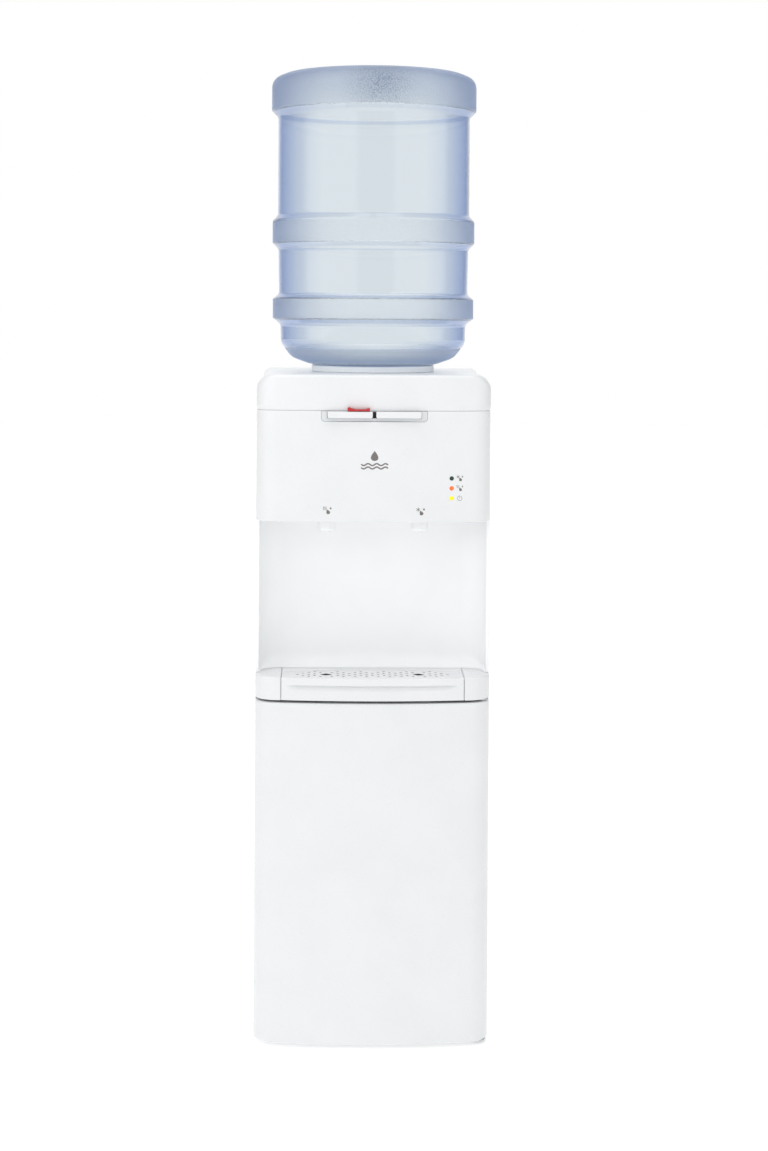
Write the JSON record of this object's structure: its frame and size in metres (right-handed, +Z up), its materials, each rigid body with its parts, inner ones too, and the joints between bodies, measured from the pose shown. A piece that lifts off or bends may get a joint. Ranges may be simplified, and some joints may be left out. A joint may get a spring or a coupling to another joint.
{
  "type": "water dispenser",
  "caption": "Floor-standing top-load water dispenser with an inverted bottle, hot and cold taps in a recessed alcove, drip tray and storage cabinet.",
  "frame": {"origin": "on the floor, under the middle of the whole object's box", "axes": "+Z up, front towards -Y, +X to the right as seen from the front"},
  "size_m": [0.3016, 0.331, 1.254],
  "materials": {
    "white_abs": "gloss moulded ABS",
    "white_steel": "powder-coated sheet steel",
    "liner_plastic": "matt vacuum-formed sheet",
    "grey_plastic": "satin",
    "galvanised": "galvanised sheet",
    "bottle_pc": "clear blue-tinted polycarbonate",
    "white_pe": "translucent polyethylene",
    "red_plastic": "gloss",
    "green_plastic": "gloss",
    "lamp_green": "lens, unlit",
    "lamp_orange": "lens, lit",
    "lamp_yellow": "lens, lit",
    "dark_plastic": "satin",
    "rubber": "matt",
    "stainless": "brushed",
    "zinc_steel": "zinc plated",
    "copper": "drawn tube",
    "black_enamel": "semi-gloss enamel",
    "foam": "expanded polystyrene",
    "silicone": "food-grade silicone",
    "circuit_board": "solder mask"
  },
  "bodies": {
    "frame": {"top_cap": "white_abs", "bottle_seat": "white_abs", "front_fascia": "white_abs", "alcove_liner": "white_abs", "tray_housing": "white_abs", "left_side_panel": "white_steel", "right_side_panel": "white_steel", "base_tray": "liner_plastic", "cabinet_liner": "liner_plastic", "button_bezel": "grey_plastic", "rear_panel": "galvanised", "probe": "white_pe", "drain_outlet": "white_pe", "hot_tap": "white_pe", "cold_tap": "white_pe", "led_cooling": "lamp_green", "led_heating": "lamp_orange", "led_power": "lamp_yellow", "switch_plate": "dark_plastic", "power_inlet": "dark_plastic", "door_catch": "dark_plastic", "thermostat": "dark_plastic", "heater_band": "dark_plastic", "foot_front_left": "rubber", "foot_front_right": "rubber", "foot_rear_left": "rubber", "foot_rear_right": "rubber", "cold_tank": "stainless", "hot_tank": "stainless", "hot_spring": "zinc_steel", "cold_spring": "zinc_steel", "upper_hinge": "zinc_steel", "lower_hinge": "zinc_steel", "rear_screw_left": "zinc_steel", "rear_screw_right": "zinc_steel", "evaporator_coil": "copper", "filter_dryer": "copper", "suction_pipe": "copper", "compressor": "black_enamel", "condenser": "black_enamel", "cold_tank_jacket": "foam", "hot_hose": "silicone", "cold_hose": "silicone", "feed_hose": "silicone", "drain_hose": "silicone", "led_board": "circuit_board"},
    "bottle": {"bottle": "bottle_pc", "bottle_cap": "white_pe"},
    "hot_button": {"hot_button": "white_abs"},
    "cold_button": {"cold_button": "white_abs"},
    "child_lock": {"child_lock": "red_plastic"},
    "hot_stem": {"hot_stem": "white_pe"},
    "cold_stem": {"cold_stem": "white_pe"},
    "drip_tray": {"drip_tray": "white_abs"},
    "drip_grille": {"drip_grille": "grey_plastic"},
    "hot_switch": {"hot_switch": "red_plastic"},
    "cold_switch": {"cold_switch": "green_plastic"},
    "drain_cap": {"drain_cap": "red_plastic"},
    "door": {"door_panel": "white_abs", "door_liner": "liner_plastic"}
  },
  "joints": [
    {"name": "bottle_lift", "type": "slide", "parent": "frame", "child": "bottle", "axis": [0, 0, 1], "range_m": [0, 0.13]},
    {"name": "hot_button_push", "type": "slide", "parent": "frame", "child": "hot_button", "axis": [0, 1, 0], "range_m": [0, 0.006], "stiffness_N_per_m": 300, "springref_m": -0.004},
    {"name": "cold_button_push", "type": "slide", "parent": "frame", "child": "cold_button", "axis": [0, 1, 0], "range_m": [0, 0.006], "stiffness_N_per_m": 300, "springref_m": -0.004},
    {"name": "child_lock_slide", "type": "slide", "parent": "frame", "child": "child_lock", "axis": [-1, 0, 0], "range_m": [0, 0.008]},
    {"name": "hot_stem_slide", "type": "slide", "parent": "frame", "child": "hot_stem", "axis": [0, 0, -1], "range_m": [0, 0.003], "deforming": ["hot_spring"]},
    {"name": "cold_stem_slide", "type": "slide", "parent": "frame", "child": "cold_stem", "axis": [0, 0, -1], "range_m": [0, 0.003], "deforming": ["cold_spring"]},
    {"name": "drip_tray_slide", "type": "slide", "parent": "frame", "child": "drip_tray", "axis": [0, -1, 0], "range_m": [0, 0.1]},
    {"name": "drip_grille_lift", "type": "slide", "parent": "drip_tray", "child": "drip_grille", "axis": [0, 0, 1], "range_m": [0, 0.05]},
    {"name": "door_hinge", "type": "hinge", "parent": "frame", "child": "door", "pos_m": [0.141, -0.1295, 0.22], "axis": [0, 0, 1], "range_deg": [0, 105]},
    {"name": "hot_switch_rock", "type": "hinge", "parent": "frame", "child": "hot_switch", "pos_m": [-0.015, 0.1375, 0.752], "axis": [1, 0, 0], "range_deg": [0, 16]},
    {"name": "cold_switch_rock", "type": "hinge", "parent": "frame", "child": "cold_switch", "pos_m": [0.015, 0.1375, 0.752], "axis": [1, 0, 0], "range_deg": [0, 16]},
    {"name": "drain_cap_pull", "type": "slide", "parent": "frame", "child": "drain_cap", "axis": [0, 1, 0], "range_m": [0, 0.02]}
  ],
  "couplings": [
    {"joint": "hot_stem_slide", "follows": "hot_button_push", "ratio": 0.5},
    {"joint": "cold_stem_slide", "follows": "cold_button_push", "ratio": 0.5}
  ]
}
